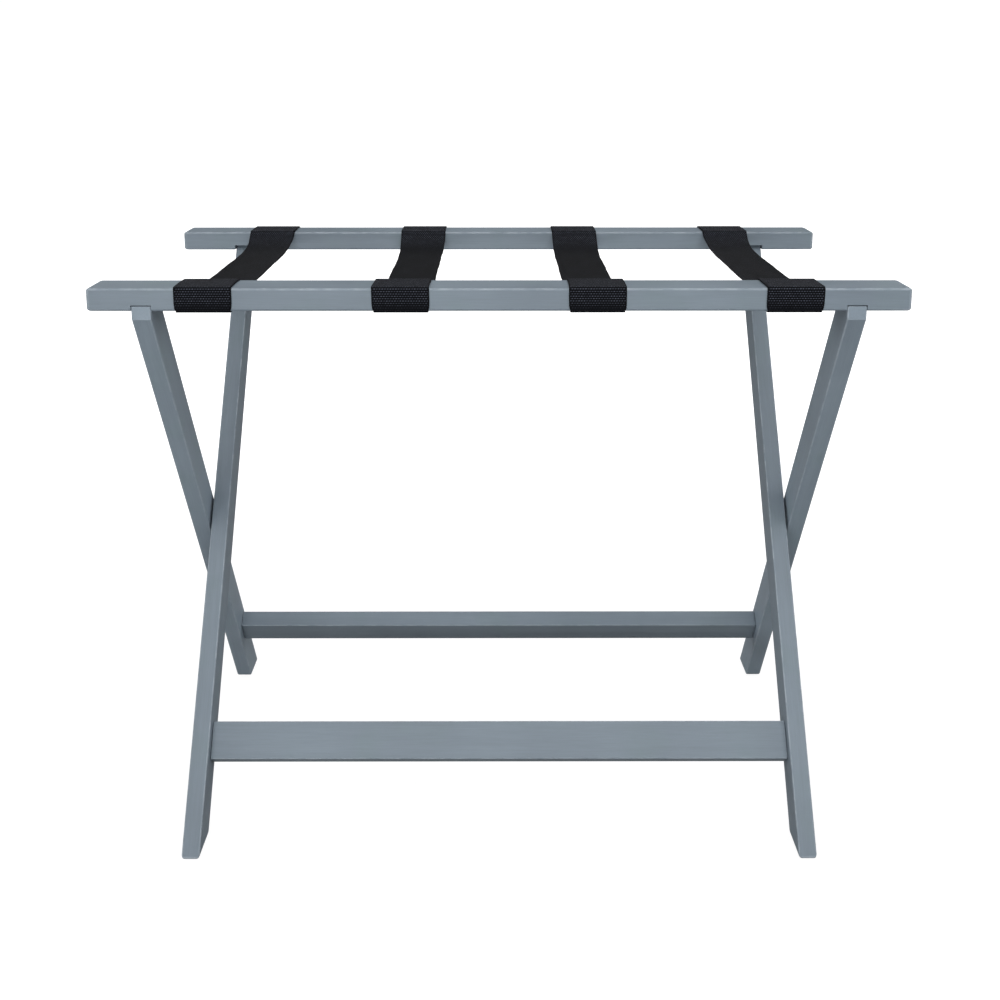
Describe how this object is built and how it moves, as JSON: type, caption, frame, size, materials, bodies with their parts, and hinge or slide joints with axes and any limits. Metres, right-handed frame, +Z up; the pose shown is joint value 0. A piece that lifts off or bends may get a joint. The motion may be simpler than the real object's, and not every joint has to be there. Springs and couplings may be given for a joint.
{
  "type": "folding luggage rack",
  "caption": "Folding wooden luggage rack: two crossed frames on a pivot carry two rails, joined across the top by flat webbing straps",
  "frame": {"origin": "on the floor at the middle of the footprint of the open rack", "axes": "+X along the rails to the right, +Y to the back, +Z up; the outer legs carry the front rail"},
  "size_m": [0.711, 0.4302, 0.5436],
  "materials": {
    "slate_paint": "satin painted",
    "bare_wood": "unfinished",
    "black_webbing": "woven",
    "plated_steel": "zinc plated"
  },
  "bodies": {
    "outer_frame": {"front_rail": "slate_paint", "outer_leg_left": "slate_paint", "outer_leg_right": "slate_paint", "rear_stretcher": "slate_paint", "strap_1": "black_webbing", "strap_2": "black_webbing", "strap_3": "black_webbing", "strap_4": "black_webbing", "strap_1_staple_front_1": "plated_steel", "strap_1_staple_front_2": "plated_steel", "strap_2_staple_front_1": "plated_steel", "strap_2_staple_front_2": "plated_steel", "strap_3_staple_front_1": "plated_steel", "strap_3_staple_front_2": "plated_steel", "strap_4_staple_front_1": "plated_steel", "strap_4_staple_front_2": "plated_steel", "pivot_washer_left": "plated_steel", "pivot_washer_right": "plated_steel", "front_rail_dowel_left": "bare_wood", "front_rail_dowel_right": "bare_wood", "rear_stretcher_dowel_left_1": "bare_wood", "rear_stretcher_dowel_left_2": "bare_wood", "rear_stretcher_dowel_right_1": "bare_wood", "rear_stretcher_dowel_right_2": "bare_wood"},
    "inner_frame": {"rear_rail": "slate_paint", "inner_leg_left": "slate_paint", "inner_leg_right": "slate_paint", "front_stretcher": "slate_paint", "pivot_bolt_left": "plated_steel", "pivot_bolt_right": "plated_steel", "pivot_insert_left": "plated_steel", "pivot_insert_right": "plated_steel", "strap_1_staple_rear_1": "plated_steel", "strap_1_staple_rear_2": "plated_steel", "strap_2_staple_rear_1": "plated_steel", "strap_2_staple_rear_2": "plated_steel", "strap_3_staple_rear_1": "plated_steel", "strap_3_staple_rear_2": "plated_steel", "strap_4_staple_rear_1": "plated_steel", "strap_4_staple_rear_2": "plated_steel", "rear_rail_dowel_left": "bare_wood", "rear_rail_dowel_right": "bare_wood", "front_stretcher_dowel_left_1": "bare_wood", "front_stretcher_dowel_left_2": "bare_wood", "front_stretcher_dowel_right_1": "bare_wood", "front_stretcher_dowel_right_2": "bare_wood"}
  },
  "joints": [
    {"name": "fold", "type": "hinge", "parent": "outer_frame", "child": "inner_frame", "pos_m": [0, 0, 0.261], "axis": [1, 0, 0], "range_deg": [0, 60], "deforming": ["strap_1", "strap_2", "strap_3", "strap_4"]}
  ]
}
